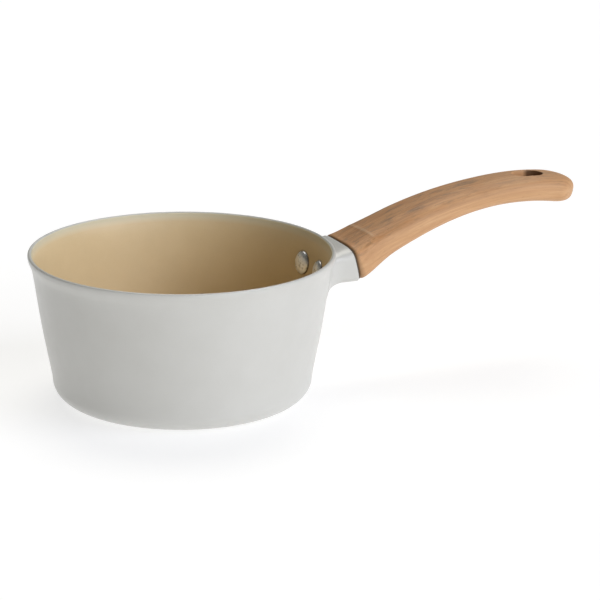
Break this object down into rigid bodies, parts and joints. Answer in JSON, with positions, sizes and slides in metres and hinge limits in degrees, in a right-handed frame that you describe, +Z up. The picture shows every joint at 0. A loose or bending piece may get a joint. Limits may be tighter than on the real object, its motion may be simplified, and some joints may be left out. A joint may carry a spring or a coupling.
{
  "type": "saucepan",
  "caption": "One-handled saucepan: tapered light-grey lacquered body with a beige ceramic lining, riveted bracket and curved wooden grip with a hang hole.",
  "frame": {"origin": "middle of the base's flat resting face", "axes": "+X along the handle, away from the pan; +Y to the left seen from the pan along the handle; +Z up"},
  "size_m": [0.3213, 0.165, 0.103],
  "materials": {
    "outer_lacquer": "satin",
    "ceramic_lining": "satin",
    "induction_steel": "satin",
    "rivet_steel": "polished",
    "gasket_rubber": "matte",
    "grip_wood": "satin",
    "screw_steel": "satin"
  },
  "bodies": {
    "root": {"pan_shell": "outer_lacquer", "ceramic_lining": "ceramic_lining", "induction_plate": "induction_steel", "rivet_left": "rivet_steel", "rivet_right": "rivet_steel", "handle_bracket": "outer_lacquer", "joint_gasket": "gasket_rubber", "wooden_grip": "grip_wood", "grip_screw": "screw_steel", "screw_washer": "screw_steel"}
  },
  "joints": []
}
